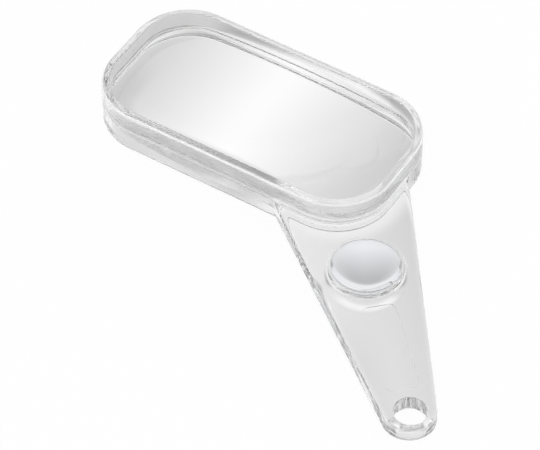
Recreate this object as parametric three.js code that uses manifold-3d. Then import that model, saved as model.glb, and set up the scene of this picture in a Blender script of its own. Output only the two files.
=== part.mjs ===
// A hand magnifier in clear acrylic. A big rounded-rectangle lens is held between a base frame and an
// upper rim, and a tapered handle leaves one corner of the frame at about 45 degrees. The handle carries
// a small round lens of higher power, a bare name panel and a hanging hole.
// Millimetres, +Z up. The head's long side lies along X, and the object rests on the frame's underside.
import * as THREE from 'three';
import { mergeVertices } from 'three/addons/utils/BufferGeometryUtils.js';
import Module from 'manifold-3d';

// Head: the base frame reaches up to the joint, and the upper rim stands on it
const headLength = 106;
const headWidth = 55;
const headHeight = 16;
const headCornerRadius = 19.7;
const wallThickness = 2.65;
const jointHeight = 8.8;
const outerEdgeRadius = 0.8;
const innerEdgeRadius = 0.4;

// Main lens: convex on both faces, with a flange that lies in a groove under the joint
const lensSurfaceRadius = 230;
const lensThickness = 14.6;
const flangeThickness = 1.6;
const grooveDepth = 1.1;
const lensClearance = 0.3;

// Handle: its upper face is level with the joint, and reaches are measured along its middle line
// from the centre of the rounded corner that carries it
const handleAngle = THREE.MathUtils.degToRad(-45.57);
const handleTaper = THREE.MathUtils.degToRad(8.45);
const handleThickness = 5.5;
const handleEndRadius = 8.6;
const handleEndReach = 97.7;
const handleEdgeRadius = 2;
const handleLowEdgeRadius = 0.2;
const rootBlendLength = 3;

// Concave foot of the upper rim's wall, where it meets the handle's upper face
const footRadius = 1.6;
const footEdgeThickness = 0.1;

// Hanging hole, its centre a little past the centre of the handle's round end
const hangingHoleRadius = 5.3;
const hangingHoleOffset = 1.5;
const hangingHoleEdgeRadius = 0.2;

// Small lens, the ledge in the handle that it rests on and the collar round its upper edge
const smallLensRadius = 11.2;
const smallLensReach = 41.1;
const smallLensSurfaceRadius = 20;
const seatClearance = 0.3;
const seatLedgeWidth = 0.8;
const seatLedgeThickness = 1;
const collarHeight = 1.6;
const collarWallThickness = 0.5;

// Bare name panel, a shallow flat in the handle's upper face between the collar and the hanging hole
const panelGapToCollar = 1.8;
const panelGapToHole = 3.2;
const panelHalfWidth = 5.4;
const panelCornerRadius = 2.2;
const panelDepth = 0.25;

// How far a cutting shape runs past the face that it cuts
const overrun = 1;

// Numbers of facets
const cornerSteps = 12;
const straightSteps = 8;
const edgeSteps = 3;
const domeRings = 8;
const circleSteps = 48;

// Levels and radii that follow from the sizes
const quarterTurn = Math.PI / 2;
const lensMiddleHeight = headHeight / 2;
const grooveFloorHeight = jointHeight - flangeThickness;
const handleLowHeight = jointHeight - handleThickness;
const collarHighHeight = jointHeight + collarHeight;
const seatHeight = handleLowHeight + seatLedgeThickness;
const seatRadius = smallLensRadius + seatClearance;
const ledgeRadius = seatRadius - seatLedgeWidth;
const collarRadius = seatRadius + collarWallThickness;
const collarFootRadius = collarRadius + collarHeight;
const hangingHoleMouthRadius = hangingHoleRadius + hangingHoleEdgeRadius;
const hangingHoleReach = handleEndReach + hangingHoleOffset;
const panelStartReach = smallLensReach + collarFootRadius + panelGapToCollar;
const panelEndReach = hangingHoleReach - hangingHoleMouthRadius - panelGapToHole;

// Directions and places in plan
const alongHandle = direction(handleAngle);
const acrossHandle = direction(handleAngle + quarterTurn);
const handleCorner = new THREE.Vector2(headLength / 2 - headCornerRadius, headCornerRadius - headWidth / 2);
const smallLensPlace = handlePoint(smallLensReach, 0);
const hangingHolePlace = handlePoint(hangingHoleReach, 0);

const wasm = await Module();
wasm.setup();

// A direction in plan, counterclockwise from +X
function direction(angle) {
  return new THREE.Vector2(Math.cos(angle), Math.sin(angle));
}

// A point in plan on or beside the handle's middle line
function handlePoint(reach, offset) {
  return handleCorner.clone().addScaledVector(alongHandle, reach).addScaledVector(acrossHandle, offset);
}

// Quarter of a round in a section, about a centre, as [offset, height] steps
function quarterRound(centreOffset, centreHeight, radius, startAngle, turn) {
  const steps = [];
  for (let step = 0; step <= edgeSteps; step += 1) {
    const angle = startAngle + (turn * step) / edgeSteps;
    steps.push([centreOffset + radius * Math.cos(angle), centreHeight + radius * Math.sin(angle)]);
  }
  return steps;
}

// A point on one of the head's four rounded corners, drawn in by an inset
function cornerPoint(corner, turnShare, inset, height) {
  const middleAngle = (corner + 0.5) * quarterTurn;
  const centreX = Math.sign(Math.cos(middleAngle)) * (headLength / 2 - headCornerRadius);
  const centreY = Math.sign(Math.sin(middleAngle)) * (headWidth / 2 - headCornerRadius);
  const angle = (corner + turnShare) * quarterTurn;
  const radius = headCornerRadius - inset;
  return new THREE.Vector3(centreX + radius * Math.cos(angle), centreY + radius * Math.sin(angle), height);
}

// The head's outline, drawn in by an inset, as a loop of points at one height
function headLoop(inset, height) {
  const loop = [];
  for (let corner = 0; corner < 4; corner += 1) {
    for (let step = 0; step < cornerSteps; step += 1) {
      loop.push(cornerPoint(corner, step / cornerSteps, inset, height));
    }
    const sideStart = cornerPoint(corner, 1, inset, height);
    const sideEnd = cornerPoint(corner + 1, 0, inset, height);
    for (let step = 0; step < straightSteps; step += 1) {
      loop.push(sideStart.clone().lerp(sideEnd, step / straightSteps));
    }
  }
  return loop;
}

// A circle about a place in plan, as a loop of points at one height
function circleLoop(place, radius, height) {
  const loop = [];
  for (let step = 0; step < circleSteps; step += 1) {
    const edge = direction((step / circleSteps) * 4 * quarterTurn).multiplyScalar(radius).add(place);
    loop.push(new THREE.Vector3(edge.x, edge.y, height));
  }
  return loop;
}

// The soft turn in plan where the handle leaves a wall, from one arm of the turn to the other
function rootBlend(root, firstArm, lastArm) {
  const start = root.clone().add(firstArm);
  const end = root.clone().add(lastArm);
  return new THREE.QuadraticBezierCurve(start, root, end).getPoints(2 * edgeSteps);
}

// The handle's outline, drawn in by an inset, as a loop of points at one height: from the front wall round
// the handle's end to the side wall, and back through the head
function handleLoop(inset, height) {
  const endCentre = handlePoint(handleEndReach, 0);
  const frontNormalAngle = handleAngle - quarterTurn + handleTaper;
  const sideNormalAngle = handleAngle + quarterTurn - handleTaper;
  const round = [];
  for (let step = 0; step <= 2 * cornerSteps; step += 1) {
    const turned = ((sideNormalAngle - frontNormalAngle) * step) / (2 * cornerSteps);
    round.push(direction(frontNormalAngle + turned).multiplyScalar(handleEndRadius - inset).add(endCentre));
  }
  const frontTangent = round[0];
  const sideTangent = round.at(-1);
  const frontLine = direction(frontNormalAngle - quarterTurn);
  const sideLine = direction(sideNormalAngle + quarterTurn);
  const frontLength = (inset - headWidth / 2 - frontTangent.y) / frontLine.y;
  const sideLength = (headLength / 2 - inset - sideTangent.x) / sideLine.x;
  const frontRoot = frontTangent.clone().addScaledVector(frontLine, frontLength);
  const sideRoot = sideTangent.clone().addScaledVector(sideLine, sideLength);
  const alongFrontWall = new THREE.Vector2(-rootBlendLength, 0);
  const alongSideWall = new THREE.Vector2(0, rootBlendLength);
  const plan = [
    ...rootBlend(frontRoot, alongFrontWall, frontLine.multiplyScalar(-rootBlendLength)),
    ...round,
    ...rootBlend(sideRoot, sideLine.multiplyScalar(-rootBlendLength), alongSideWall),
    handleCorner,
  ];
  return plan.map((place) => new THREE.Vector3(place.x, place.y, height));
}

// A closed skin over loops of points, in order from the lowest point to the highest
function skinLoops(lowest, loops, highest) {
  const count = loops[0].length;
  const points = [lowest, ...loops.flat(), highest];
  const last = points.length - 1;
  const indices = [];
  for (let i = 0; i < count; i += 1) {
    const next = (i + 1) % count;
    indices.push(0, 1 + next, 1 + i);
    for (let row = 0; row + 1 < loops.length; row += 1) {
      const below = 1 + row * count;
      const above = below + count;
      indices.push(below + i, below + next, above + next);
      indices.push(below + i, above + next, above + i);
    }
    indices.push(last, last - count + i, last - count + next);
  }
  const geometry = new THREE.BufferGeometry().setFromPoints(points);
  geometry.setIndex(indices);
  return geometry;
}

// A block with the head's outline and flat ends, from [inset, height] steps
function headBlock(steps) {
  const loops = steps.map(([inset, height]) => headLoop(inset, height));
  const lowest = new THREE.Vector3(0, 0, loops[0][0].z);
  const highest = new THREE.Vector3(0, 0, loops.at(-1)[0].z);
  return skinLoops(lowest, loops, highest);
}

// A block with the handle's outline and flat ends, from [inset, height] steps
function handleBlock(steps) {
  const loops = steps.map(([inset, height]) => handleLoop(inset, height));
  const middle = handlePoint(handleEndRadius, 0);
  const lowest = new THREE.Vector3(middle.x, middle.y, loops[0][0].z);
  const highest = new THREE.Vector3(middle.x, middle.y, loops.at(-1)[0].z);
  return skinLoops(lowest, loops, highest);
}

// A round block with flat ends about a place in plan, from [radius, height] steps
function roundBlock(place, steps) {
  const loops = steps.map(([radius, height]) => circleLoop(place, radius, height));
  const lowest = new THREE.Vector3(place.x, place.y, loops[0][0].z);
  const highest = new THREE.Vector3(place.x, place.y, loops.at(-1)[0].z);
  return skinLoops(lowest, loops, highest);
}

// The name panel's outline, sunk into the handle's upper face
function panelBlock() {
  const shape = new THREE.Shape();
  const near = panelStartReach + panelCornerRadius;
  const far = panelEndReach - panelCornerRadius;
  const edge = panelHalfWidth - panelCornerRadius;
  shape.absarc(far, edge, panelCornerRadius, 0, quarterTurn, false);
  shape.absarc(near, edge, panelCornerRadius, quarterTurn, 2 * quarterTurn, false);
  shape.absarc(near, -edge, panelCornerRadius, 2 * quarterTurn, 3 * quarterTurn, false);
  shape.absarc(far, -edge, panelCornerRadius, 3 * quarterTurn, 4 * quarterTurn, false);
  const geometry = new THREE.ExtrudeGeometry(shape, {
    depth: panelDepth + overrun,
    curveSegments: edgeSteps * 2,
    bevelEnabled: false,
  });
  geometry.rotateZ(handleAngle);
  geometry.translate(handleCorner.x, handleCorner.y, jointHeight - panelDepth);
  return geometry;
}

// A closed mesh as a solid that can be joined and cut
function solid(geometry) {
  const bare = geometry.clone();
  bare.deleteAttribute('normal');
  bare.deleteAttribute('uv');
  const merged = mergeVertices(bare);
  const vertProperties = new Float32Array(merged.attributes.position.array);
  const triVerts = new Uint32Array(merged.index.array);
  return new wasm.Manifold(new wasm.Mesh({ numProp: 3, vertProperties, triVerts }));
}

function geometryOf(body) {
  const mesh = body.getMesh();
  const geometry = new THREE.BufferGeometry();
  geometry.setAttribute('position', new THREE.BufferAttribute(mesh.vertProperties, 3));
  geometry.setIndex(new THREE.BufferAttribute(mesh.triVerts, 1));
  return geometry;
}

// The lower half of the head's wall and the handle, moulded in one
function baseFrame() {
  const outside = solid(headBlock([
    ...quarterRound(outerEdgeRadius, outerEdgeRadius, outerEdgeRadius, -quarterTurn, -quarterTurn),
    [0, jointHeight],
  ]));
  const innerCorner = wallThickness - innerEdgeRadius;
  const opening = solid(headBlock([
    [innerCorner, -overrun],
    ...quarterRound(innerCorner, innerEdgeRadius, innerEdgeRadius, -quarterTurn, quarterTurn),
    [wallThickness, grooveFloorHeight],
    [wallThickness - grooveDepth, grooveFloorHeight],
    [wallThickness - grooveDepth, jointHeight + overrun],
  ]));
  const lowEdge = handleLowHeight + handleLowEdgeRadius;
  const highEdge = jointHeight - handleEdgeRadius;
  const handle = solid(handleBlock([
    ...quarterRound(handleLowEdgeRadius, lowEdge, handleLowEdgeRadius, -quarterTurn, -quarterTurn),
    ...quarterRound(handleEdgeRadius, highEdge, handleEdgeRadius, 2 * quarterTurn, -quarterTurn),
  ]));
  const collar = solid(roundBlock(smallLensPlace, [
    [collarFootRadius, jointHeight - overrun],
    ...quarterRound(collarFootRadius, collarHighHeight, collarHeight, -quarterTurn, -quarterTurn),
  ]));
  const seat = solid(roundBlock(smallLensPlace, [
    [ledgeRadius, handleLowHeight - overrun],
    [ledgeRadius, seatHeight],
    [seatRadius, seatHeight],
    [seatRadius, collarHighHeight + overrun],
  ]));
  const mouth = hangingHoleMouthRadius;
  const lowRound = handleLowHeight + hangingHoleEdgeRadius;
  const highRound = jointHeight - hangingHoleEdgeRadius;
  const hangingHole = solid(roundBlock(hangingHolePlace, [
    [mouth, handleLowHeight - overrun],
    ...quarterRound(mouth, lowRound, hangingHoleEdgeRadius, -quarterTurn, -quarterTurn),
    ...quarterRound(mouth, highRound, hangingHoleEdgeRadius, 2 * quarterTurn, -quarterTurn),
    [mouth, jointHeight + overrun],
  ]));
  const joined = outside.add(handle).add(collar);
  return joined.subtract(opening).subtract(seat).subtract(hangingHole).subtract(solid(panelBlock()));
}

// The upper half of the head's wall, with a concave foot over the handle
function upperRim() {
  const outerRound = headHeight - outerEdgeRadius;
  const outside = solid(headBlock([
    [0, jointHeight],
    ...quarterRound(outerEdgeRadius, outerRound, outerEdgeRadius, 2 * quarterTurn, -quarterTurn),
  ]));
  const footRound = jointHeight + footEdgeThickness + footRadius;
  const flare = solid(headBlock([
    [-footRadius, jointHeight],
    ...quarterRound(-footRadius, footRound, footRadius, -quarterTurn, quarterTurn),
  ]));
  const handleFace = solid(handleBlock([
    [handleEdgeRadius, jointHeight - overrun],
    [handleEdgeRadius, headHeight],
  ]));
  const innerCorner = wallThickness - innerEdgeRadius;
  const opening = solid(headBlock([
    [wallThickness, jointHeight - overrun],
    ...quarterRound(innerCorner, headHeight - innerEdgeRadius, innerEdgeRadius, 0, quarterTurn),
    [innerCorner, headHeight + overrun],
  ]));
  return outside.add(flare.intersect(handleFace)).subtract(opening);
}

// Rings of points over a lens face, from the middle out to an outline, on a sphere that bulges up or down
function domeRingsOver(outline, centre, surfaceRadius, bulge) {
  const rings = [];
  for (let ring = 1; ring <= domeRings; ring += 1) {
    rings.push(outline.map((edge) => {
      const place = new THREE.Vector2(edge.x, edge.y).sub(centre).multiplyScalar(ring / domeRings);
      const drop = surfaceRadius - Math.sqrt(surfaceRadius ** 2 - place.lengthSq());
      return new THREE.Vector3(centre.x + place.x, centre.y + place.y, centre.z - bulge * drop);
    }));
  }
  return rings;
}

function mainLens() {
  const bodyInset = wallThickness + lensClearance;
  const flangeInset = wallThickness - grooveDepth + lensClearance;
  const outline = headLoop(bodyInset, 0);
  const lowest = new THREE.Vector3(0, 0, lensMiddleHeight - lensThickness / 2);
  const highest = new THREE.Vector3(0, 0, lensMiddleHeight + lensThickness / 2);
  return skinLoops(lowest, [
    ...domeRingsOver(outline, lowest, lensSurfaceRadius, -1),
    headLoop(bodyInset, grooveFloorHeight),
    headLoop(flangeInset, grooveFloorHeight),
    headLoop(flangeInset, jointHeight),
    headLoop(bodyInset, jointHeight),
    ...domeRingsOver(outline, highest, lensSurfaceRadius, 1).reverse(),
  ], highest);
}

// How far a small lens face bulges past its edge
function smallLensBulge(edgeRadius) {
  return smallLensSurfaceRadius - Math.sqrt(smallLensSurfaceRadius ** 2 - edgeRadius ** 2);
}

function smallLens() {
  const lowEdgeRadius = ledgeRadius - seatClearance;
  const lowOutline = circleLoop(smallLensPlace, lowEdgeRadius, 0);
  const highOutline = circleLoop(smallLensPlace, smallLensRadius, 0);
  const lowPoint = seatHeight - smallLensBulge(lowEdgeRadius);
  const highPoint = collarHighHeight + smallLensBulge(smallLensRadius);
  const lowest = new THREE.Vector3(smallLensPlace.x, smallLensPlace.y, lowPoint);
  const highest = new THREE.Vector3(smallLensPlace.x, smallLensPlace.y, highPoint);
  return skinLoops(lowest, [
    ...domeRingsOver(lowOutline, lowest, smallLensSurfaceRadius, -1),
    circleLoop(smallLensPlace, smallLensRadius, seatHeight),
    ...domeRingsOver(highOutline, highest, smallLensSurfaceRadius, 1).reverse(),
  ], highest);
}

const frameAcrylic = new THREE.MeshStandardMaterial({ color: 0xd8d9da, roughness: 0.08, metalness: 0 });
const rimAcrylic = new THREE.MeshStandardMaterial({ color: 0xe2e3e4, roughness: 0.08, metalness: 0 });
const lensAcrylic = new THREE.MeshStandardMaterial({ color: 0xe9e9eb, roughness: 0.03, metalness: 0 });
const coatedLens = new THREE.MeshStandardMaterial({ color: 0xb4bcbe, roughness: 0.03, metalness: 0 });

function piece(name, geometry, material) {
  const mesh = new THREE.Mesh(geometry, material);
  mesh.name = name;
  return mesh;
}

const loupe = new THREE.Group();
loupe.add(piece('base_frame', geometryOf(baseFrame()), frameAcrylic));
loupe.add(piece('upper_rim', geometryOf(upperRim()), rimAcrylic));
loupe.add(piece('main_lens', mainLens(), lensAcrylic));
loupe.add(piece('small_lens', smallLens(), coatedLens));

// The origin goes under the middle of the whole object
const extent = new THREE.Box3().setFromObject(loupe);
loupe.position.set(-(extent.min.x + extent.max.x) / 2, -(extent.min.y + extent.max.y) / 2, -extent.min.z);

export default loupe;
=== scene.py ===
"""Looks of a clear acrylic hand magnifier: its head, two lenses, handle and the light it stands in."""

import math

import bpy
import numpy as np
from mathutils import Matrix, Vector


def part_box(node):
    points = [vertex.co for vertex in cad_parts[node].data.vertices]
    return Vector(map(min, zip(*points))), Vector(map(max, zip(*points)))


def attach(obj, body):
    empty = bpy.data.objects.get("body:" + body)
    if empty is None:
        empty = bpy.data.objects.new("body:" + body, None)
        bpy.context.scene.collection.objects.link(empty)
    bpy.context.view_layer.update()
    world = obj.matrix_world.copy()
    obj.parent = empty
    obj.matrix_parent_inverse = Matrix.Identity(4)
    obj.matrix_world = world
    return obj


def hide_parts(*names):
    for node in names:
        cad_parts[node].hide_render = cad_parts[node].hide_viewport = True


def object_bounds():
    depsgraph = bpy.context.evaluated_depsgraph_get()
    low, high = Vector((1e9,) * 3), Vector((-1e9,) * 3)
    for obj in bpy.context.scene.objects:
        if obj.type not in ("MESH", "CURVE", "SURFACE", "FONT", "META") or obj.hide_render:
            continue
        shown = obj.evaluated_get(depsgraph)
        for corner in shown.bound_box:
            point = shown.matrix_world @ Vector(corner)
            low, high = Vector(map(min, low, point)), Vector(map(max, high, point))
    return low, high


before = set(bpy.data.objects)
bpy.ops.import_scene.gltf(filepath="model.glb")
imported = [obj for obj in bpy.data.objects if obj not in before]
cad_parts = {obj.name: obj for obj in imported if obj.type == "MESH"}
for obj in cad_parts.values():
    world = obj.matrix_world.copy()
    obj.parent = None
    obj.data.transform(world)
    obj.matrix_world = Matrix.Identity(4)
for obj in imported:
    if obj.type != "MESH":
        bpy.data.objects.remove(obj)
cad_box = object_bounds()

MM = 0.001

# Places and heights that the CAD solids give
LENS_LOW, LENS_HIGH = (Vector(corner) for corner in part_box("main_lens"))
RIM_LOW, RIM_HIGH = (Vector(corner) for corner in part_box("upper_rim"))
SMALL_LOW, SMALL_HIGH = (Vector(corner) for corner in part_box("small_lens"))
HEAD_CENTRE = (LENS_LOW + LENS_HIGH) / 2
HEAD_HEIGHT = RIM_HIGH.z
JOINT_HEIGHT = RIM_LOW.z
SMALL_CENTRE = (SMALL_LOW + SMALL_HIGH) / 2

# Sizes of the head
HEAD_LENGTH = 106 * MM
HEAD_WIDTH = 55 * MM
CORNER_RADIUS = 19.7 * MM
WALL = 2.65 * MM
OUTER_EDGE = 1.2 * MM
INNER_EDGE = 0.4 * MM
SEAM_WIDTH = 0.3 * MM
SEAM_DEPTH = 0.15 * MM

# Sizes of the handle
HANDLE_ANGLE = math.radians(-45.57)
HANDLE_TAPER = math.radians(8.45)
HANDLE_THICKNESS = 5.5 * MM
HANDLE_TOP_EDGE = 2 * MM
HANDLE_LOW_EDGE = 0.15 * MM
END_RADIUS = 8.6 * MM
END_REACH = 97.7 * MM
FOOT_RADIUS = 1.6 * MM
LOW_FOOT_RADIUS = 0.15 * MM
HOLE_RADIUS = 5.3 * MM
HOLE_REACH = 99.2 * MM
HOLE_EDGE = 0.2 * MM

# Sizes of the lenses and of what holds them
LENS_SURFACE = 230 * MM
FLANGE_THICKNESS = 1.6 * MM
GROOVE_DEPTH = 1.1 * MM
LENS_FIT = 0.05 * MM
LENS_BEVEL = 0.35 * MM
SMALL_RADIUS = 11.2 * MM
SMALL_LOW_RADIUS = 10.4 * MM
SMALL_SURFACE = 20 * MM
SEAT_RADIUS = SMALL_RADIUS + LENS_FIT
SMALL_HIGH_INSET = 0.12 * MM
SMALL_BEVEL = 0.05 * MM
SMALL_SIDE = 2 * MM
LEDGE_RADIUS = 10.7 * MM
LEDGE_THICKNESS = 1 * MM
COLLAR_RADIUS = 12 * MM
COLLAR_HEIGHT = 1.6 * MM

# Painted highlights: how far the rounded edges are whitened where highlights fall, how far painted light
# lightens the far part of the flat top, and how far a line along the seam is whitened
TOP_EDGE_HIGHLIGHT = 0.92
LOW_EDGE_LIGHTENING = 0.6
FAR_TOP_LIGHTENING = 0.35
FOOT_HIGHLIGHT = 0.9
END_HIGHLIGHT = 0.5
COLLAR_HIGHLIGHT = 0.3
SEAM_WHITENING = 0.5

# How the surface leans where each painted edge highlight lies, from -1 for down to 1 for up, and how far the
# whitening spreads
TOP_LEAN = 0.45
LOW_LEAN = -0.6
FOOT_LEAN = 0.6
END_LEAN = 0.3
HEAD_LEAN_SPREAD = 0.3
LEAN_SPREAD = 0.25
WHITENING_FULLNESS = 1.6

# Where painted light lightens the flat top of the head's wall: on its far side, and round its right end
FAR_TOP_LIGHT_START = 5 * MM
FAR_TOP_LIGHT_BLEND = 20 * MM
RIGHT_END = 28 * MM
RIGHT_END_TURN = 1.5

# Where the painted highlights on the collar and the foot lie
COLLAR_HIGHLIGHT_SHIFT = 1 * MM
COLLAR_HIGHLIGHT_WIDTH = 2 * MM
JOINT_MARGIN = 0.1 * MM

# The room: the way in plan towards its bright end, how bright it is by the height of the direction, and how
# far each way the two ends blend
BRIGHT_WAY = (-0.532, 0.847)
BRIGHT_END = ((0.0, 1.0), (0.5, 1.0), (0.64, 0.6), (1.0, 0.55))
OTHER_END = ((0.0, 1.0), (0.12, 0.85), (0.3, 0.6), (1.0, 0.55))
END_BLEND = (-0.1, 0.3)

# How bright open paper shows through the plastic, and its edges' softness
OPEN_PAPER = 1.0
SHADE_SOFTNESS = 1.2 * MM

# The shade behind the head: how bright it is at the left and elsewhere, how far out it starts by place along
# the head, and where it ends
BEHIND_LEFT = 0.65
BEHIND_HEAD = 0.42
BEHIND_LEFT_END = 38 * MM
BEHIND_LEFT_BLEND = 12 * MM
BEHIND_PLACES = (-50 * MM, -35 * MM, -10 * MM, 15 * MM, 35 * MM, 50 * MM)
BEHIND_STARTS = (3 * MM, 8.5 * MM, 11.5 * MM, 12.5 * MM, 8 * MM, 6 * MM)
BEHIND_START_BLEND = 3 * MM
BEHIND_END = 40 * MM
BEHIND_END_BLEND = 30 * MM
BEHIND_FRONT = 8 * MM
SIDE_BLEND = 16 * MM

# The narrow shade right behind the wall, along its left part and round its right corner
CONTACT_SHADE = 0.5
CONTACT_REACH = 6.5 * MM
CONTACT_BLEND = 2 * MM
CONTACT_LEFT_START = 45 * MM
CONTACT_LEFT_START_BLEND = 20 * MM
CONTACT_LEFT_END = 8 * MM
CONTACT_RIGHT_START = 44 * MM
CONTACT_RIGHT_START_BLEND = 8 * MM
CONTACT_RIGHT_FRONT = 18 * MM
CONTACT_RIGHT_BLEND = 12 * MM

# The shade under the wall, and how the front wall's grows from the head's left end to its middle
FRONT_WALL = 0.38
OTHER_WALL = 0.95
FRONT_BLEND = 20 * MM
FRONT_MIDDLE = 0.85
FRONT_GROWTH = 0.017 / MM
FRONT_LEAST = 0.2
FRONT_END = 34 * MM
FRONT_END_BLEND = 14 * MM
HANDLE_BLEND = 4 * MM

# The shade inside the front wall, by depth from it, and where the handle's light opens it
FRONT_DEPTHS = (0.0, 2.5 * MM, 4.5 * MM, 8 * MM, 10.5 * MM)
FRONT_SHADES = (0.7, 0.5, 0.32, 0.5, 1.0)
FRONT_OPENING = 4 * MM
FRONT_OPENING_BLEND = 12 * MM
ROOT_INSIDE = 0.95
ROOT_INSIDE_REACH = 3 * MM
ROOT_INSIDE_BLEND = 6 * MM

# The pool of light under the middle of the main lens
UNDER_LENS = 1.06
LENS_SLOPE = -10.3 / 1000 / MM
LENS_POOL_SHIFT = -4.4 * MM
LENS_POOL_SOFTNESS = 6 * MM

# The shade under the handle, lightest at its root and darker along its front edge
UNDER_HANDLE = 0.79
HANDLE_SLOPE = -4.5 / 1000 / MM
HANDLE_TURN = 60 * MM
HANDLE_TURN_BLEND = 30 * MM
HANDLE_ROOT = 0.92
ROOT_REACH = 6 * MM
HANDLE_RIM = 0.62
HANDLE_RIM_WIDTH = 2 * MM
HANDLE_RIM_BLEND = 3 * MM
HANDLE_RIM_START = 55 * MM
HANDLE_RIM_START_BLEND = 30 * MM
HANDLE_RIM_SHIFT = 2 * MM
HANDLE_RIM_SHIFT_BLEND = 4 * MM

# The shade under the small lens, and the bright ring that it gathers on the far side from the light
UNDER_SMALL = 0.58
SMALL_SLOPE = 58 / 1000 / MM
SMALL_SIDE_SLOPE = -15 / 1000 / MM
SMALL_SHADE_START = 2 * MM
SMALL_SHADE_MARGIN = 1 * MM
SMALL_SHADE_BLEND = 3 * MM
SMALL_CAUSTIC = 1.0
CAUSTIC_RADIUS = 10.7 * MM
CAUSTIC_WIDTH = 2.5 * MM
CAUSTIC_SOFTNESS = 1.5 * MM
CAUSTIC_START = 6 * MM
CAUSTIC_START_BLEND = 4 * MM

# The paper: its gap under the object, how far it goes, and the finer grid that keeps the shade round it
FLOOR_GAP = 0.03 * MM
FLOOR_REACH = 3.0
FLOOR_PITCH = 1.0
SHADED_MARGIN = 40 * MM
SHADED_PITCH = 0.8 * MM
PAPER_WHITENESS = 0.96

# The camera, at the photograph's angle
CAMERA_FROM_HEAD = (0.41876, -0.66050, 0.83061)
CAMERA_DIRECTION = (-0.35521, 0.56472, -0.74493)
CAMERA_LENS = 233.0

# Sizes of the name panel
PANEL_START = 56.5 * MM
PANEL_END = 90.5 * MM
PANEL_HALF_WIDTH = 5.4 * MM
PANEL_CORNER = 2.2 * MM
PANEL_DEPTH = 0.25 * MM

# Sizes of the frame's grid
LEVEL_MARGIN = 0.3 * MM
LEAST_LEVEL_GAP = 0.045 * MM
MOST_LEVEL_GAP = 1.1 * MM
LEVEL_SHIFT = 0.013 * MM
GRID_MARGIN = 0.83 * MM
END_PITCH = 0.8 * MM
SIDE_PITCH = 0.7 * MM
MIDDLE_PITCH = 2 * MM
HANDLE_PITCH = 0.6 * MM
COLLAR_PITCH = 0.42 * MM
HANDLE_GRID_START = 18 * MM
COLLAR_GRID_MARGIN = 2 * MM

# How the surface is found and smoothed
CROSSING_ROUNDS = 12
CROSSING_MARGIN = 0.1
STEADINESS = 0.02
SLOPE_REACH = 0.005 * MM
CREASE_ANGLE = math.radians(35)
CLOSE_ANGLE = math.radians(25)
LENS_CREASE_ANGLE = math.radians(25)

# The lenses' grid: rows from the middle of the edge to the lens face, and the steps where the parts of the
# edge end. A fillet's points, how close points are merged, and how much of a face counts as the side
EDGE_ROWS = 4
RIM_END = 0.5
FLANGE_END = 1.5
SIDE_END = 2.5
FILLET_POINTS = 40
MERGE_REACH = 0.001 * MM
SIDE_SHARE = 0.4

# Finishes
FRAME_CLEARNESS = 0.97
NOISE_LOW = 0.35
NOISE_HIGH = 0.75


def box_distance(x, y, half_x, half_y, radius):
    """Distance in plan to a rectangle with rounded corners, negative inside."""
    out_x = np.abs(x) - half_x + radius
    out_y = np.abs(y) - half_y + radius
    outside = np.hypot(np.maximum(out_x, 0), np.maximum(out_y, 0))
    return outside + np.minimum(np.maximum(out_x, out_y), 0) - radius


def rounded_meet(first, second, radius):
    """What two shapes have in common, its edge rounded."""
    corner = np.hypot(np.maximum(first + radius, 0), np.maximum(second + radius, 0))
    return np.minimum(np.maximum(first, second), -radius) + corner


def filleted_join(first, second, radius):
    """Two shapes joined, with a fillet where they meet."""
    corner = np.hypot(np.maximum(radius - first, 0), np.maximum(radius - second, 0))
    return np.maximum(np.minimum(first, second), radius) - corner


def slab(z, low, high):
    return np.maximum(low - z, z - high)


def head_outline(x, y):
    """Distance in plan to the head's outline, negative inside."""
    across, along = x - HEAD_CENTRE.x, y - HEAD_CENTRE.y
    return box_distance(across, along, HEAD_LENGTH / 2, HEAD_WIDTH / 2, CORNER_RADIUS)


def from_small_lens(x, y):
    return np.hypot(x - SMALL_CENTRE.x, y - SMALL_CENTRE.y)


def handle_coordinates(x, y):
    """Reach along the handle from the rounded corner's centre, and offset across it."""
    corner_x = HEAD_CENTRE.x + HEAD_LENGTH / 2 - CORNER_RADIUS
    corner_y = HEAD_CENTRE.y - HEAD_WIDTH / 2 + CORNER_RADIUS
    cos, sin = math.cos(HANDLE_ANGLE), math.sin(HANDLE_ANGLE)
    reach = (x - corner_x) * cos + (y - corner_y) * sin
    offset = (y - corner_y) * cos - (x - corner_x) * sin
    return reach, offset


def handle_distance(reach, offset):
    """Distance in plan to the tapered handle and its round end, negative inside."""
    out = np.abs(offset)
    past = reach - END_REACH
    side = out * math.cos(HANDLE_TAPER) + past * math.sin(HANDLE_TAPER) - END_RADIUS
    end = np.hypot(out, past) - END_RADIUS
    beyond = past * math.cos(HANDLE_TAPER) - out * math.sin(HANDLE_TAPER) > 0
    return np.maximum(np.where(beyond, end, side), -reach)


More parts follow.
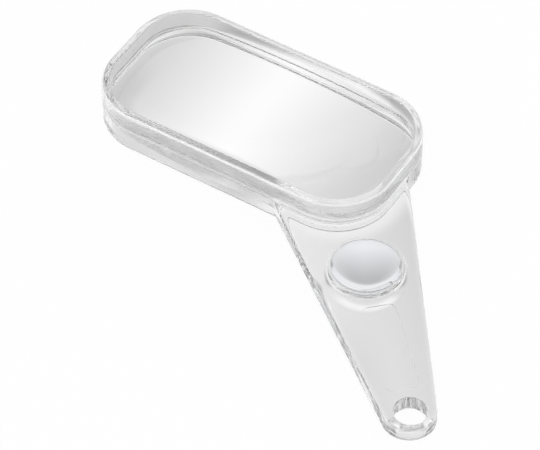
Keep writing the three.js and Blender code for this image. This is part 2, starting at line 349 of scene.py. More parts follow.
def frame_distance(x, y, z):
    """Distance to the frame moulding: wall, handle, collar, seat, hanging hole and name panel."""
    handle_low = JOINT_HEIGHT - HANDLE_THICKNESS
    outline = head_outline(x, y)
    reach, offset = handle_coordinates(x, y)
    handle_plan = handle_distance(reach, offset)
    from_lens = from_small_lens(x, y)
    from_hole = np.hypot(reach - HOLE_REACH, offset)

    head = rounded_meet(outline, slab(z, 0, HEAD_HEIGHT), OUTER_EDGE)
    handle = rounded_meet(handle_plan, z - JOINT_HEIGHT, HANDLE_TOP_EDGE)
    handle = rounded_meet(handle, handle_low - z, HANDLE_LOW_EDGE)
    collar = np.maximum(
        from_lens - COLLAR_RADIUS, slab(z, JOINT_HEIGHT - COLLAR_HEIGHT, JOINT_HEIGHT + COLLAR_HEIGHT)
    )
    handle = filleted_join(handle, collar, COLLAR_HEIGHT)
    up = np.clip((z - handle_low) / HANDLE_THICKNESS, 0, 1)
    foot = LOW_FOOT_RADIUS + (FOOT_RADIUS - LOW_FOOT_RADIUS) * up
    body = filleted_join(head, handle, foot)

    body = rounded_meet(body, -(outline + WALL), INNER_EDGE)
    groove = slab(z, JOINT_HEIGHT - FLANGE_THICKNESS, JOINT_HEIGHT)
    body = np.maximum(body, -np.maximum(outline + WALL - GROOVE_DEPTH, groove))
    seat = np.maximum(from_lens - SEAT_RADIUS, handle_low + LEDGE_THICKNESS - z)
    body = np.maximum(body, -np.minimum(seat, from_lens - LEDGE_RADIUS))
    body = rounded_meet(body, HOLE_RADIUS - from_hole, HOLE_EDGE)
    middle, half_length = (PANEL_START + PANEL_END) / 2, (PANEL_END - PANEL_START) / 2
    panel = box_distance(reach - middle, offset, half_length, PANEL_HALF_WIDTH, PANEL_CORNER)
    body = np.maximum(body, -np.maximum(panel, JOINT_HEIGHT - PANEL_DEPTH - z))
    seam = np.abs(z - JOINT_HEIGHT) * 2 * SEAM_DEPTH / SEAM_WIDTH - outline - SEAM_DEPTH
    return np.maximum(body, -np.maximum(seam, FOOT_RADIUS - handle_plan))


def soft_step(value, softness):
    """From 0 to 1 as a distance passes zero."""
    share = np.clip(value / softness + 0.5, 0, 1)
    return share * share * (3 - 2 * share)


def towards(value, goal, share):
    """A value moved by a share of the way to a goal."""
    return value + (goal - value) * share


def edge_highlights_and_whitening(points):
    """Painted highlights: how much the frame is whitened, from 0 to 1, by which way its surface leans, along
    the head's top and low edges and round its foot, the handle's end and the collar; painted light that
    lightens the far part of its flat top; and a whitened line along the seam."""
    x, y, z = points.T
    across, along = x - HEAD_CENTRE.x, y - HEAD_CENTRE.y
    outline = head_outline(x, y)
    reach, _ = handle_coordinates(x, y)
    lean = slopes(points, frame_distance)[:, 2]

    def leaning(middle, spread=LEAN_SPREAD):
        return np.clip(WHITENING_FULLNESS - np.abs(lean - middle) / spread, 0, 1)

    outside = outline > -OUTER_EDGE
    above = z > JOINT_HEIGHT - JOINT_MARGIN
    near_foot = np.abs(outline - FOOT_RADIUS / 2) < FOOT_RADIUS / 2
    near_collar = np.abs(from_small_lens(x, y) - COLLAR_RADIUS - COLLAR_HIGHLIGHT_SHIFT) < COLLAR_HIGHLIGHT_WIDTH
    at_end = (reach > END_REACH) * (z > JOINT_HEIGHT - HANDLE_TOP_EDGE)
    far = along + FAR_TOP_LIGHT_START + RIGHT_END_TURN * np.maximum(across - RIGHT_END, 0)
    on_flat = soft_step(far, FAR_TOP_LIGHT_BLEND) * (z > HEAD_HEIGHT - INNER_EDGE)
    seam = np.clip(WHITENING_FULLNESS - np.abs(z - JOINT_HEIGHT) / SEAM_WIDTH, 0, 1)

    # Painted highlights: the rounded edges are whitened where the surface leans towards the light
    highlight_whitening = TOP_EDGE_HIGHLIGHT * leaning(TOP_LEAN, HEAD_LEAN_SPREAD) * (outside & (z > HEAD_HEIGHT - OUTER_EDGE))
    # Painted light: the far part of the flat top is made lighter
    highlight_whitening = np.maximum(highlight_whitening, FAR_TOP_LIGHTENING * on_flat)
    highlight_whitening += LOW_EDGE_LIGHTENING * leaning(LOW_LEAN, HEAD_LEAN_SPREAD) * (outside & (z < OUTER_EDGE))
    highlight_whitening += FOOT_HIGHLIGHT * leaning(FOOT_LEAN) * above * near_foot
    highlight_whitening += END_HIGHLIGHT * leaning(END_LEAN) * at_end
    highlight_whitening += COLLAR_HIGHLIGHT * leaning(FOOT_LEAN) * above * near_collar
    # A whitened line along the seam
    return np.maximum(highlight_whitening, SEAM_WHITENING * seam * (np.abs(outline) < SEAM_WIDTH))


def slopes(points, distance):
    """The direction away from the surface at each point."""
    steps = SLOPE_REACH * np.eye(3)
    slope = np.stack([distance(*(points + step).T) - distance(*(points - step).T) for step in steps], axis=1)
    return slope / np.maximum(np.linalg.norm(slope, axis=1), 1e-12)[:, None]


def surface_of(distance, xs, ys, zs):
    """Points and four-sided faces of the surface where a distance is zero, one point in each grid cell that
    the surface crosses, where the planes that touch the surface there meet, so that edges stay crisp."""
    coordinates = (xs, ys, zs)
    values = distance(xs[:, None, None], ys[None, :, None], zs[None, None, :])
    inside = values < 0
    shape = tuple(size - 1 for size in values.shape)
    crossings, quads = [], []
    for axis in range(3):
        ahead = [slice(None)] * 3
        behind = [slice(None)] * 3
        ahead[axis], behind[axis] = slice(1, None), slice(None, -1)
        first, second = inside[tuple(behind)], inside[tuple(ahead)]
        crossing = np.argwhere(first != second)
        low = values[tuple(behind)][tuple(crossing.T)]
        high = values[tuple(ahead)][tuple(crossing.T)]
        start = np.stack([coordinates[k][crossing[:, k]] for k in range(3)], axis=1)
        step = np.zeros_like(start)
        step[:, axis] = np.diff(coordinates[axis])[crossing[:, axis]]
        near, far = np.zeros(len(start)), np.ones(len(start))
        for _ in range(CROSSING_ROUNDS):
            guess = np.clip(low / (low - high), CROSSING_MARGIN, 1 - CROSSING_MARGIN)
            share = near + (far - near) * guess
            here = distance(*(start + step * share[:, None]).T)
            same = (here < 0) == (low < 0)
            near, low = np.where(same, share, near), np.where(same, here, low)
            far, high = np.where(same, far, share), np.where(same, high, here)
        points = start + step * share[:, None]
        next_axis, last_axis = (axis + 1) % 3, (axis + 2) % 3
        cells = []
        for back_next, back_last in ((1, 1), (0, 1), (0, 0), (1, 0)):
            cell = crossing.copy()
            cell[:, next_axis] -= back_next
            cell[:, last_axis] -= back_last
            cells.append(np.ravel_multi_index(cell.T, shape))
        quad = np.stack(cells, axis=1)
        outwards = first[tuple(crossing.T)]
        quads.append(np.where(outwards[:, None], quad, quad[:, ::-1]))
        crossings += [(cell, points) for cell in cells]
    cell = np.concatenate([c for c, _ in crossings])
    points = np.concatenate([p for _, p in crossings])
    used, number = np.unique(cell, return_inverse=True)
    count = np.bincount(number)
    middle = np.stack([np.bincount(number, points[:, k]) / count for k in range(3)], axis=1)
    normals = slopes(points, distance)
    ahead = ((points - middle[number]) * normals).sum(axis=1)

    def summed(values):
        return np.bincount(number, values)

    matrix = np.stack([
        np.stack([summed(normals[:, i] * normals[:, j]) for j in range(3)], axis=1) for i in range(3)
    ], axis=1)
    right = np.stack([summed(normals[:, i] * ahead) for i in range(3)], axis=1)
    moved = np.linalg.solve(matrix + STEADINESS * np.eye(3), right[:, :, None])[:, :, 0]
    corner = np.stack(np.unravel_index(used, shape), axis=1)
    for k in range(3):
        low, high = coordinates[k][corner[:, k]], coordinates[k][corner[:, k] + 1]
        moved[:, k] = np.clip(middle[:, k] + moved[:, k], low, high)
    return moved, np.searchsorted(used, np.concatenate(quads))


def smooth_over(mesh, points, distance):
    """Gives the mesh the true surface's normals wherever it is round, and keeps its creases."""
    mesh.shade_smooth()
    mesh.set_sharp_from_angle(angle=CREASE_ANGLE)
    corners = np.empty(len(mesh.loops) * 3)
    mesh.corner_normals.foreach_get("vector", corners)
    corners = corners.reshape(-1, 3)
    vertex = np.empty(len(mesh.loops), int)
    mesh.loops.foreach_get("vertex_index", vertex)
    true = slopes(points, distance)[vertex]
    close = (true * corners).sum(axis=1) > math.cos(CLOSE_ANGLE)
    mesh.normals_split_custom_set(np.where(close[:, None], true, corners).tolist())


def object_of(name, points, faces, material, distance):
    mesh = bpy.data.meshes.new(name)
    mesh.from_pydata(points.tolist(), [], faces.tolist())
    mesh.materials.append(material)
    smooth_over(mesh, points, distance)
    piece = bpy.data.objects.new(name, mesh)
    bpy.context.scene.collection.objects.link(piece)
    return piece


def linear(hex_colour):
    """An sRGB hex colour as linear red, green, blue and alpha."""
    parts = [int(hex_colour[i:i + 2], 16) / 255 for i in (1, 3, 5)]
    return [p / 12.92 if p <= 0.04045 else ((p + 0.055) / 1.055) ** 2.4 for p in parts] + [1.0]


def add_node(tree, kind, settings=None, values=None, links=None):
    """Adds a node, sets its properties and socket values, and links its sockets from others."""
    node = tree.nodes.new(kind)
    for key, value in (settings or {}).items():
        setattr(node, key, value)
    for key, value in (values or {}).items():
        node.inputs[key].default_value = value
    for key, source in (links or {}).items():
        tree.links.new(source, node.inputs[key])
    return node


def clear_material(name, colour, ior, clear, smooth, hazy, haze_size, ripple, ripple_size):
    """A clear solid that scatters what it doesn't pass. Its roughness wanders from smooth to hazy in soft
    patches, and low ripples bend what is seen in it and through it. Lengths are in metres."""
    material = bpy.data.materials.new(name)
    material.use_nodes = True
    tree = material.node_tree
    shader = tree.nodes["Principled BSDF"]
    shader.inputs["Base Color"].default_value = linear(colour)
    shader.inputs["IOR"].default_value = ior
    shader.inputs["Transmission Weight"].default_value = clear
    place = add_node(tree, "ShaderNodeTexCoord").outputs["Object"]
    patches = add_node(
        tree, "ShaderNodeTexNoise", values={"Scale": 1 / haze_size, "Detail": 3.0}, links={"Vector": place}
    )
    haze = add_node(
        tree, "ShaderNodeMapRange",
        values={"From Min": NOISE_LOW, "From Max": NOISE_HIGH, "To Min": smooth, "To Max": hazy},
        links={"Value": patches.outputs["Fac"]},
    )
    tree.links.new(haze.outputs[0], shader.inputs["Roughness"])
    waves = add_node(
        tree, "ShaderNodeTexNoise", values={"Scale": 1 / ripple_size, "Detail": 1.0}, links={"Vector": place}
    )
    bump = add_node(
        tree, "ShaderNodeBump", values={"Strength": 1.0, "Distance": ripple},
        links={"Height": waves.outputs["Fac"]},
    )
    tree.links.new(bump.outputs[0], shader.inputs["Normal"])
    return material


# Injection-moulded acrylic from a polished mould: glass-clear, with a faint haze from handling and the low
# ripples that moulding leaves in broad faces. Painted highlights: the whitening kept in the piece's mesh
# takes its clearness away on its rounded edges where highlights fall, on the far part of its flat top and
# along its seam
frame_material = clear_material(
    "moulded_acrylic", colour="#fcfcfc", ior=1.49, clear=FRAME_CLEARNESS, smooth=0.03, hazy=0.06,
    haze_size=9 * MM, ripple=0.012 * MM, ripple_size=7 * MM,
)
frame_nodes = frame_material.node_tree
# Painted highlights: the whitening attribute takes the clearness away where it is high
whitened = add_node(frame_nodes, "ShaderNodeAttribute", {"attribute_name": "highlight_whitening"})
clearness = add_node(
    frame_nodes, "ShaderNodeMapRange", values={"To Min": FRAME_CLEARNESS, "To Max": 0.0},
    links={"Value": whitened.outputs["Fac"]},
)
frame_shader = frame_nodes.nodes["Principled BSDF"]
frame_nodes.links.new(clearness.outputs[0], frame_shader.inputs["Transmission Weight"])

# Optically moulded acrylic: truer and smoother than the frame, with hardly any haze
lens_material = clear_material(
    "optical_acrylic", colour="#fafafa", ior=1.49, clear=1.0, smooth=0.0, hazy=0.015,
    haze_size=14 * MM, ripple=0.002 * MM, ripple_size=16 * MM,
)

# The lens's side as it leaves the mould, unpolished: a satin face that spreads light into a smooth grey
side_material = clear_material(
    "satin_lens_side", colour="#ffffff", ior=1.49, clear=1.0, smooth=0.12, hazy=0.2,
    haze_size=5 * MM, ripple=0.02 * MM, ripple_size=3 * MM,
)

# Crown glass, ground and polished. Its magnesium fluoride coating, 110 nanometres thick, leaves a faint
# purple in reflections
small_material = clear_material(
    "coated_crown_glass", colour="#ecedf0", ior=1.52, clear=1.0, smooth=0.0, hazy=0.01,
    haze_size=6 * MM, ripple=0.001 * MM, ripple_size=8 * MM,
)
coating = small_material.node_tree.nodes["Principled BSDF"]
coating.inputs["Thin Film Thickness"].default_value = 110.0
coating.inputs["Thin Film IOR"].default_value = 1.38


def round_levels(height, radius, side):
    """Heights that cut a rounded edge at equal angles, from a flat face at a height to one side of it."""
    return [height + side * radius * (1 - math.cos(math.radians(angle))) for angle in range(0, 91, 10)]


def heights():
    """Levels of the frame's grid, close together where edges, feet and the joint are."""
    handle_low = JOINT_HEIGHT - HANDLE_THICKNESS
    groove_low = JOINT_HEIGHT - FLANGE_THICKNESS
    marks = round_levels(HEAD_HEIGHT, OUTER_EDGE, -1) + round_levels(0, OUTER_EDGE, 1)
    marks += round_levels(HEAD_HEIGHT, INNER_EDGE, -1) + round_levels(0, INNER_EDGE, 1)
    marks += round_levels(JOINT_HEIGHT, HANDLE_TOP_EDGE, -1) + round_levels(JOINT_HEIGHT, FOOT_RADIUS, 1)
    marks += [JOINT_HEIGHT - SEAM_WIDTH / 2, JOINT_HEIGHT + SEAM_WIDTH / 2, JOINT_HEIGHT + SEAM_WIDTH / 4]
    marks += [JOINT_HEIGHT - SEAM_WIDTH / 4, JOINT_HEIGHT - PANEL_DEPTH, groove_low]
    marks += round_levels(handle_low, HANDLE_LOW_EDGE, 1)
    marks += [handle_low + LEDGE_THICKNESS, JOINT_HEIGHT + COLLAR_HEIGHT]
    marks = sorted(marks)
    kept = [marks[0] - LEVEL_MARGIN]
    for mark in marks + [marks[-1] + LEVEL_MARGIN]:
        gap = mark - kept[-1]
        if gap > MOST_LEVEL_GAP:
            parts = math.ceil(gap / MOST_LEVEL_GAP)
            kept += [kept[-1] + gap * part / parts for part in range(1, parts)]
        if gap >= LEAST_LEVEL_GAP:
            kept.append(mark)
    # The grid's levels lie just off the flat faces, which it then cuts cleanly
    return np.array(kept) + LEVEL_SHIFT


def stations(stretches):
    """Grid coordinates from stretches, each with its start, its end and its pitch."""
    places = [
        np.linspace(start, end, max(1, round((end - start) / pitch)), endpoint=False)
        for start, end, pitch in stretches
    ]
    return np.append(np.concatenate(places), stretches[-1][1])


def make_frame():
    """The frame moulding as one piece, with its painted highlights and whitening kept in its mesh."""
    low, high = (Vector(corner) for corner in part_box("base_frame"))
    left_corner = HEAD_CENTRE.x - HEAD_LENGTH / 2 + CORNER_RADIUS
    back_corner = HEAD_CENTRE.y + HEAD_WIDTH / 2 - CORNER_RADIUS
    handle_left = HEAD_CENTRE.x + HANDLE_GRID_START
    ring = COLLAR_RADIUS + COLLAR_GRID_MARGIN
    xs = stations((
        (low.x - GRID_MARGIN, left_corner, END_PITCH),
        (left_corner, handle_left, MIDDLE_PITCH),
        (handle_left, SMALL_CENTRE.x - ring, HANDLE_PITCH),
        (SMALL_CENTRE.x - ring, SMALL_CENTRE.x + ring, COLLAR_PITCH),
        (SMALL_CENTRE.x + ring, high.x + GRID_MARGIN, HANDLE_PITCH),
    ))
    ys = stations((
        (low.y - GRID_MARGIN, SMALL_CENTRE.y - ring, HANDLE_PITCH),
        (SMALL_CENTRE.y - ring, SMALL_CENTRE.y + ring, COLLAR_PITCH),
        (SMALL_CENTRE.y + ring, back_corner, SIDE_PITCH),
        (back_corner, high.y + GRID_MARGIN, END_PITCH),
    ))
    points, faces = surface_of(frame_distance, xs, ys, heights())
    points = np.clip(points, *cad_box)
    piece = object_of("frame_moulding", points, faces, frame_material, frame_distance)
    # The painted highlights and whitening, kept in the mesh for the material
    highlight_whitening = piece.data.attributes.new("highlight_whitening", "FLOAT", "POINT")
    highlight_whitening.data.foreach_set("value", edge_highlights_and_whitening(points))
    return piece


def lens_tree():
    """A lens over a rounded-rectangle outline: rows of points from the low pole, round the edge, to the high
    pole."""
    tree = bpy.data.node_groups.new("lens", "GeometryNodeTree")
    for name, kind in (
        ("Length", "Float"), ("Width", "Float"), ("Corner Radius", "Float"), ("Surface Radius", "Float"),
        ("Low Height", "Float"), ("High Height", "Float"),
        ("Low Edge Inset", "Float"), ("High Edge Inset", "Float"), ("Edge Bevel", "Float"),
        ("Flange Low", "Float"), ("Flange High", "Float"), ("Flange Reach", "Float"),
        ("Around", "Int"), ("Rings", "Int"), ("Material", "Material"), ("Side Material", "Material"),
    ):
        tree.interface.new_socket(name=name, in_out="INPUT", socket_type="NodeSocket" + kind)
    tree.interface.new_socket(name="Geometry", in_out="OUTPUT", socket_type="NodeSocketGeometry")
    given = add_node(tree, "NodeGroupInput").outputs

    def feed(socket, operand):
        if isinstance(operand, (int, float)):
            socket.default_value = operand
        else:
            tree.links.new(operand, socket)

    def maths(operation, *operands):
        node = add_node(tree, "ShaderNodeMath", {"operation": operation})
        for socket, operand in zip(node.inputs, operands):
            feed(socket, operand)
        return node.outputs[0]

    def choose(condition, if_false, if_true):
        node = add_node(tree, "GeometryNodeSwitch", {"input_type": "FLOAT"}, links={"Switch": condition})
        feed(node.inputs["False"], if_false)
        feed(node.inputs["True"], if_true)
        return node.outputs[0]

    def scaled(vector, scale):
        return add_node(
            tree, "ShaderNodeVectorMath", {"operation": "SCALE"}, links={0: vector, "Scale": scale}
        ).outputs[0]

    rows = maths("MULTIPLY", maths("ADD", given["Rings"], EDGE_ROWS), 2)
    columns = maths("ADD", given["Around"], 1)
    grid = add_node(tree, "GeometryNodeMeshGrid", links={"Vertices X": columns, "Vertices Y": rows})
    index = add_node(tree, "GeometryNodeInputIndex").outputs[0]
    row = maths("FLOORED_MODULO", index, rows)
    column = maths("FLOOR", maths("DIVIDE", index, rows))

    # Steps from the middle of the edge: 0 flange rim, 1 flange root, 2 side, 3 and on the lens face
    from_middle = maths("SUBTRACT", row, maths("SUBTRACT", maths("DIVIDE", rows, 2), 0.5))
    is_high = maths("GREATER_THAN", from_middle, 0)
    step = maths("FLOOR", maths("ABSOLUTE", from_middle))
    rings_left = maths("SUBTRACT", maths("ADD", given["Rings"], EDGE_ROWS - 1), step)
    share = maths("MINIMUM", maths("DIVIDE", rings_left, given["Rings"]), 1)
    on_face = maths("GREATER_THAN", step, SIDE_END)
    on_flange = maths("LESS_THAN", step, FLANGE_END)
    on_rim = maths("LESS_THAN", step, RIM_END)

    outline = add_node(
        tree, "GeometryNodeCurvePrimitiveQuadrilateral", {"mode": "RECTANGLE"},
        links={"Width": given["Length"], "Height": given["Width"]},
    )
    rounded = add_node(
        tree, "GeometryNodeFilletCurve", {"mode": "POLY"}, {"Count": FILLET_POINTS, "Limit Radius": True},
        {"Curve": outline.outputs[0], "Radius": given["Corner Radius"]},
    )
    sample = add_node(
        tree, "GeometryNodeSampleCurve", {"mode": "FACTOR", "use_all_curves": True},
        links={"Curves": rounded.outputs[0], "Factor": maths("DIVIDE", column, given["Around"])},
    )
    outward = add_node(tree, "ShaderNodeVectorMath", {"operation": "CROSS_PRODUCT"}, {1: (0, 0, 1)})
    tree.links.new(sample.outputs["Tangent"], outward.inputs[0])
    inset = choose(is_high, given["Low Edge Inset"], given["High Edge Inset"])
    face_offset = maths("MULTIPLY", inset, -1)
    offset = choose(on_face, choose(on_rim, 0.0, given["Flange Reach"]), face_offset)
    edge_place = add_node(
        tree, "ShaderNodeVectorMath", {"operation": "ADD"},
        links={0: sample.outputs["Position"], 1: scaled(outward.outputs[0], offset)},
    )
    split = add_node(tree, "ShaderNodeSeparateXYZ", links={0: scaled(edge_place.outputs[0], share)})
    x, y = split.outputs[0], split.outputs[1]

    across = maths("ADD", maths("MULTIPLY", x, x), maths("MULTIPLY", y, y))
    radius = given["Surface Radius"]
    under_root = maths("SUBTRACT", maths("MULTIPLY", radius, radius), across)
    drop = maths("SUBTRACT", radius, maths("SQRT", under_root))
    bevel = choose(on_face, given["Edge Bevel"], 0.0)
    inwards = maths("ADD", drop, bevel)
    face_height = choose(
        is_high, maths("ADD", given["Low Height"], inwards), maths("SUBTRACT", given["High Height"], inwards)
    )
    flange_height = choose(is_high, given["Flange Low"], given["Flange High"])
    height = choose(on_flange, face_height, flange_height)
    position = add_node(tree, "ShaderNodeCombineXYZ", links={"X": x, "Y": y, "Z": height})
    shaped = add_node(
        tree, "GeometryNodeSetPosition",
        links={"Geometry": grid.outputs["Mesh"], "Position": position.outputs[0]},
    )
    on_side = add_node(
        tree, "GeometryNodeFieldOnDomain", {"domain": "POINT"}, links={0: maths("LESS_THAN", step, SIDE_END)}
    )
    marked = add_node(
        tree, "GeometryNodeStoreNamedAttribute", {"domain": "FACE", "data_type": "FLOAT"},
        {"Name": "lens_side"}, {"Geometry": shaped.outputs[0], "Value": on_side.outputs[0]},
    )
    merged = add_node(
        tree, "GeometryNodeMergeByDistance", values={"Distance": MERGE_REACH},
        links={"Geometry": marked.outputs[0]},
    )
    real = add_node(tree, "GeometryNodeRealizeInstances", links={"Geometry": merged.outputs[0]})
    painted = add_node(
        tree, "GeometryNodeSetMaterial", links={"Geometry": real.outputs[0], "Material": given["Material"]}
    )
    mark = add_node(tree, "GeometryNodeInputNamedAttribute", {"data_type": "FLOAT"}, {"Name": "lens_side"})
    dulled = add_node(
        tree, "GeometryNodeSetMaterial",
        links={
            "Geometry": painted.outputs[0], "Material": given["Side Material"],
            "Selection": maths("GREATER_THAN", mark.outputs["Attribute"], SIDE_SHARE),
        },
    )
    add_node(tree, "NodeGroupOutput", links={"Geometry": dulled.outputs[0]})
    return tree


def make_lens(tree, name, centre, sizes):
    """Runs the lens tree with its sizes and keeps the result as a plain mesh in its place."""
    carrier = bpy.data.objects.new(name + "_carrier", bpy.data.meshes.new(name + "_carrier"))
    bpy.context.scene.collection.objects.link(carrier)
    modifier = carrier.modifiers.new("lens", "NODES")
    modifier.node_group = tree
    for item in tree.interface.items_tree:
        if item.in_out == "INPUT":
            modifier[item.identifier] = sizes[item.name]
    graph = bpy.context.evaluated_depsgraph_get()
    mesh = bpy.data.meshes.new_from_object(carrier.evaluated_get(graph))
    bpy.data.objects.remove(carrier)
    mesh.name = name
    points = np.empty(len(mesh.vertices) * 3)
    mesh.vertices.foreach_get("co", points)
    points = points.reshape(-1, 3) + (centre.x, centre.y, 0)
    mesh.vertices.foreach_set("co", points.ravel())
    mesh.shade_smooth()
    mesh.set_sharp_from_angle(angle=LENS_CREASE_ANGLE)
    piece = bpy.data.objects.new(name, mesh)
    bpy.context.scene.collection.objects.link(piece)
    return piece


frame_piece = make_frame()
tree = lens_tree()
inset = WALL + LENS_FIT
main_piece = make_lens(tree, "main_lens_acrylic", HEAD_CENTRE, {
    "Length": HEAD_LENGTH - 2 * inset,
    "Width": HEAD_WIDTH - 2 * inset,
    "Corner Radius": CORNER_RADIUS - inset,
    "Surface Radius": LENS_SURFACE,
    "Low Height": LENS_LOW.z,
    "High Height": LENS_HIGH.z,
    "Low Edge Inset": LENS_BEVEL,
    "High Edge Inset": LENS_BEVEL,
    "Edge Bevel": LENS_BEVEL,
    "Flange Low": JOINT_HEIGHT - FLANGE_THICKNESS + LENS_FIT,
    "Flange High": JOINT_HEIGHT - LENS_FIT,
    "Flange Reach": GROOVE_DEPTH - LENS_FIT,
    "Around": 480,
    "Rings": 60,
    "Material": lens_material,
    "Side Material": side_material,
})
small_piece = make_lens(tree, "small_lens_glass", SMALL_CENTRE, {
    "Length": 2 * SMALL_RADIUS,
    "Width": 2 * SMALL_RADIUS,
    "Corner Radius": SMALL_RADIUS,
    "Surface Radius": SMALL_SURFACE,
    "Low Height": SMALL_LOW.z,
    "High Height": SMALL_HIGH.z,
    "Low Edge Inset": SMALL_RADIUS - SMALL_LOW_RADIUS,
    "High Edge Inset": SMALL_HIGH_INSET,
    "Edge Bevel": SMALL_BEVEL,
    "Flange Low": (SMALL_LOW.z + SMALL_HIGH.z) / 2 - SMALL_SIDE / 2,
    "Flange High": (SMALL_LOW.z + SMALL_HIGH.z) / 2 + SMALL_SIDE / 2,
    "Flange Reach": 0.0,
    "Around": 240,
    "Rings": 40,
    "Material": small_material,
    "Side Material": small_material,
})

for piece, nodes, slot in (
    (frame_piece, ("base_frame", "upper_rim"), "frame_acrylic"),
    (main_piece, ("main_lens",), "lens_acrylic"),
    (small_piece, ("small_lens",), "coated_lens"),
):
    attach(piece, "root")
    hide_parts(*nodes)


def open_paper(across, along, outline):
    """How bright the paper beside the plastic shows through it: shaded behind the head."""
    start = outline - np.interp(across, BEHIND_PLACES, BEHIND_STARTS)
    behind = soft_step(along + BEHIND_FRONT, SIDE_BLEND) * soft_step(BEHIND_END - outline, BEHIND_END_BLEND)
    behind = behind * soft_step(start, BEHIND_START_BLEND)
    past_left = soft_step(across + BEHIND_LEFT_END, BEHIND_LEFT_BLEND)
    paper = towards(OPEN_PAPER, towards(BEHIND_LEFT, BEHIND_HEAD, past_left), behind)

    left = soft_step(along, SIDE_BLEND) * soft_step(across + CONTACT_LEFT_START, CONTACT_LEFT_START_BLEND)
    left = left * soft_step(CONTACT_LEFT_END - across, SIDE_BLEND)
    right = soft_step(along + CONTACT_RIGHT_FRONT, CONTACT_RIGHT_BLEND)
    right = right * soft_step(across - CONTACT_RIGHT_START, CONTACT_RIGHT_START_BLEND)
    close = soft_step(CONTACT_REACH - outline, CONTACT_BLEND)
    return towards(paper, CONTACT_SHADE, np.maximum(left, right) * close)


def lens_paper(across, outline, handle, front):
    """How bright the paper under the main lens shows: a pool of light in the middle, and the front wall's
    shade along that wall, except where the handle meets it."""
    from_pool = np.hypot(across - LENS_POOL_SHIFT, LENS_POOL_SOFTNESS) - LENS_POOL_SOFTNESS
    under_lens = UNDER_LENS + LENS_SLOPE * from_pool
    inside = -outline - WALL
    clear_of_handle = front * soft_step(handle - FRONT_OPENING, FRONT_OPENING_BLEND)
    under_lens = under_lens * towards(1, np.interp(inside, FRONT_DEPTHS, FRONT_SHADES), clear_of_handle)
    at_root = soft_step(ROOT_INSIDE_REACH - inside, ROOT_INSIDE_REACH) * soft_step(-handle, ROOT_INSIDE_BLEND)
    return towards(under_lens, ROOT_INSIDE, at_root)


def small_lens_paper(x, y, under_handle):
    """How bright the paper under the small lens shows: shaded, brighter towards the room's bright end, with a
    bright ring on the other side."""
    from_centre = (x - SMALL_CENTRE.x, y - SMALL_CENTRE.y)
    towards_light = from_centre[0] * BRIGHT_WAY[0] + from_centre[1] * BRIGHT_WAY[1]
    beside_light = np.abs(from_centre[0] * BRIGHT_WAY[1] - from_centre[1] * BRIGHT_WAY[0])
    past_shade = towards_light - SMALL_SHADE_START
    under_small = np.clip(UNDER_SMALL + SMALL_SLOPE * past_shade, UNDER_SMALL, OPEN_PAPER)
    under_small = under_small + SMALL_SIDE_SLOPE * beside_light
    lit_side = soft_step(towards_light + SMALL_SHADE_MARGIN, SMALL_SHADE_BLEND)
    under_small = towards(under_handle, under_small, lit_side)
    from_ring = np.abs(from_small_lens(x, y) - CAUSTIC_RADIUS)
    caustic = soft_step(CAUSTIC_WIDTH / 2 - from_ring, CAUSTIC_SOFTNESS)
    caustic = caustic * soft_step(-towards_light - CAUSTIC_START, CAUSTIC_START_BLEND)
    return towards(under_small, SMALL_CAUSTIC, caustic)


def handle_paper(x, y, outline, reach, offset, handle):
    """How bright the paper under the handle shows: lightest at its root and darker along its front edge."""
    turned = 1 - 2 * soft_step(reach - HANDLE_TURN, HANDLE_TURN_BLEND) * (offset < 0)
    under_handle = UNDER_HANDLE + HANDLE_SLOPE * turned * offset
    rim = soft_step(handle + HANDLE_RIM_WIDTH, HANDLE_RIM_BLEND) * soft_step(-offset, HANDLE_RIM_BLEND)
    rim = rim * soft_step(reach - HANDLE_RIM_START, HANDLE_RIM_START_BLEND)
    under_handle = towards(under_handle, HANDLE_RIM, rim)
    under_handle = towards(HANDLE_ROOT, under_handle, soft_step(outline - ROOT_REACH / 2, ROOT_REACH))
    past_collar = soft_step(from_small_lens(x, y) - COLLAR_RADIUS, 2 * SHADE_SOFTNESS)
    return towards(small_lens_paper(x, y, under_handle), under_handle, past_collar)


def paper_shade(x, y):
    """How bright the paper shows through the plastic, lit from the bright end of the room. Plan distances to
    the head, the handle and the small lens set it, so it lies still on the paper from every side."""
    across, along = x - HEAD_CENTRE.x, y - HEAD_CENTRE.y
    outline = head_outline(x, y)
    reach, offset = handle_coordinates(x, y)
    handle = handle_distance(reach, offset)
    growing = np.clip(FRONT_MIDDLE + FRONT_GROWTH * across, FRONT_LEAST, 1)
    front = soft_step(-along, FRONT_BLEND) * growing * soft_step(handle, HANDLE_BLEND)
    front = front * soft_step(FRONT_END - across, FRONT_END_BLEND)

    under_lens = lens_paper(across, outline, handle, front)
    under_handle = handle_paper(x, y, outline, reach, offset, handle)
    edge = handle - HANDLE_RIM_SHIFT * soft_step(-offset, HANDLE_RIM_SHIFT_BLEND)
    shade = towards(under_handle, open_paper(across, along, outline), soft_step(edge, SHADE_SOFTNESS))
    shade = towards(under_lens, shade, soft_step(outline + WALL / 2, SHADE_SOFTNESS))
    under_wall = soft_step(WALL / 2 - np.abs(outline + WALL / 2), SHADE_SOFTNESS)
    return towards(shade, towards(OTHER_WALL, FRONT_WALL, front), under_wall)


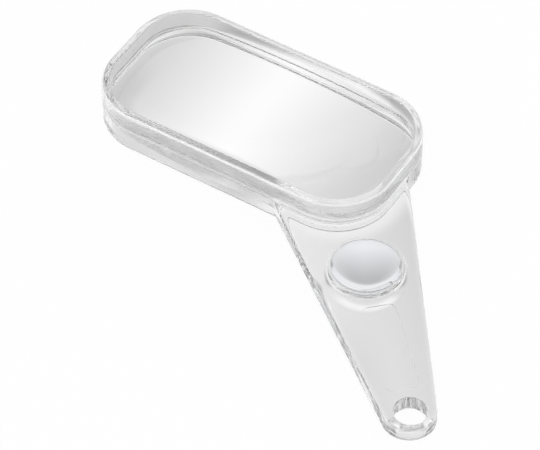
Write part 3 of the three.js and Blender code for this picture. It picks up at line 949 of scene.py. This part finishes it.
def make_stage():
    """White paper under the object. The camera sees it white with a faint shadow. A real clear magnifier lets
    light through to the paper under it, which the renderer's own shadows leave out, so what the plastic shows
    of the paper comes from a shade kept in the paper's mesh."""
    xs, ys = (
        stations((
            (-FLOOR_REACH, low - SHADED_MARGIN, FLOOR_PITCH),
            (low - SHADED_MARGIN, high + SHADED_MARGIN, SHADED_PITCH),
            (high + SHADED_MARGIN, FLOOR_REACH, FLOOR_PITCH),
        ))
        for low, high in zip(cad_box[0][:2], cad_box[1][:2])
    )
    across, along = np.meshgrid(xs, ys)
    points = np.stack([across.ravel(), along.ravel(), np.full(across.size, -FLOOR_GAP)], axis=1)
    start = (np.arange(len(ys) - 1)[:, None] * len(xs) + np.arange(len(xs) - 1)).ravel()
    faces = np.stack([start, start + 1, start + len(xs) + 1, start + len(xs)], axis=1)
    mesh = bpy.data.meshes.new("floor")
    mesh.from_pydata(points.tolist(), [], faces.tolist())
    shade = mesh.attributes.new("shade", "FLOAT", "POINT")
    shade.data.foreach_set("value", paper_shade(points[:, 0], points[:, 1]))
    floor = bpy.data.objects.new("floor", mesh)
    bpy.context.scene.collection.objects.link(floor)
    material = bpy.data.materials.new("white_paper_sweep")
    material.use_nodes = True
    nodes = material.node_tree
    shader = nodes.nodes["Principled BSDF"]
    shader.inputs["Base Color"].default_value = linear("#f4f4f4")
    shader.inputs["Roughness"].default_value = 0.9
    kept = add_node(nodes, "ShaderNodeAttribute", {"attribute_name": "shade"})
    seen_through = add_node(nodes, "ShaderNodeEmission", links={"Strength": kept.outputs["Fac"]})
    white = add_node(nodes, "ShaderNodeEmission", values={"Strength": 1.0})
    path = add_node(nodes, "ShaderNodeLightPath")
    direct = add_node(
        nodes, "ShaderNodeMixShader", values={0: PAPER_WHITENESS},
        links={1: shader.outputs[0], 2: white.outputs[0]},
    )
    either = add_node(
        nodes, "ShaderNodeMath", {"operation": "MAXIMUM"},
        links={0: path.outputs["Is Camera Ray"], 1: path.outputs["Is Glossy Ray"]},
    )
    first = add_node(
        nodes, "ShaderNodeMixShader", links={0: either.outputs[0], 1: shader.outputs[0], 2: direct.outputs[0]}
    )
    last = add_node(
        nodes, "ShaderNodeMixShader",
        links={0: path.outputs["Is Transmission Ray"], 1: first.outputs[0], 2: seen_through.outputs[0]},
    )
    nodes.links.new(last.outputs[0], nodes.nodes["Material Output"].inputs["Surface"])
    mesh.materials.append(material)


def make_light():
    """A white room for the camera and for plain surfaces. In reflections and through the plastic, a sky that
    is white at the horizon and darker above it, and brighter at one end of the room."""
    world = bpy.data.worlds.new("studio")
    bpy.context.scene.world = world
    world.use_nodes = True
    nodes = world.node_tree
    path = add_node(nodes, "ShaderNodeLightPath")
    way = add_node(nodes, "ShaderNodeTexCoord").outputs["Generated"]
    height = add_node(nodes, "ShaderNodeSeparateXYZ", links={0: way}).outputs["Z"]
    skies = []
    for name, stops in (("bright end", BRIGHT_END), ("other end", OTHER_END)):
        ramp = add_node(nodes, "ShaderNodeValToRGB", {"label": name}, links={"Fac": height})
        elements = ramp.color_ramp.elements
        while len(elements) < len(stops):
            elements.new(1.0)
        for element, (place, level) in zip(elements, stops):
            element.position = place
            element.color = (level, level, level, 1)
        skies.append(ramp.outputs["Color"])
    facing = add_node(
        nodes, "ShaderNodeVectorMath", {"operation": "DOT_PRODUCT"}, {1: (*BRIGHT_WAY, 0)}, {0: way}
    )
    share = add_node(
        nodes, "ShaderNodeMapRange", {"interpolation_type": "SMOOTHSTEP"},
        {"From Min": END_BLEND[0], "From Max": END_BLEND[1]}, {"Value": facing.outputs["Value"]},
    )
    sky = add_node(
        nodes, "ShaderNodeMix", {"data_type": "RGBA"},
        links={"Factor": share.outputs[0], 6: skies[1], 7: skies[0]},
    )
    background = nodes.nodes["Background"]
    nodes.links.new(sky.outputs[2], background.inputs["Color"])
    background.inputs["Strength"].default_value = 1.0
    white = add_node(nodes, "ShaderNodeBackground", values={"Color": (1, 1, 1, 1), "Strength": 1.0})
    plain = add_node(
        nodes, "ShaderNodeMath", {"operation": "MAXIMUM"},
        links={0: path.outputs["Is Camera Ray"], 1: path.outputs["Is Diffuse Ray"]},
    )
    mix = add_node(
        nodes, "ShaderNodeMixShader",
        links={0: plain.outputs[0], 1: background.outputs[0], 2: white.outputs[0]},
    )
    nodes.links.new(mix.outputs[0], nodes.nodes["World Output"].inputs["Surface"])


def make_camera():
    data = bpy.data.cameras.new("camera")
    data.sensor_width = 36
    data.lens = CAMERA_LENS
    data.clip_start = 0.01
    data.clip_end = 20
    camera = bpy.data.objects.new("camera", data)
    bpy.context.scene.collection.objects.link(camera)
    camera.location = Vector((HEAD_CENTRE.x, HEAD_CENTRE.y, 0)) + Vector(CAMERA_FROM_HEAD)
    camera.rotation_euler = Vector(CAMERA_DIRECTION).to_track_quat("-Z", "Y").to_euler()
    bpy.context.scene.camera = camera


make_stage()
make_light()
make_camera()
bpy.context.scene.view_settings.view_transform = "Standard"

# Light is passed on inside the clear plastic many times before it comes out
paths = bpy.context.scene.cycles
paths.max_bounces = 32
paths.glossy_bounces = 24
paths.transmission_bounces = 24
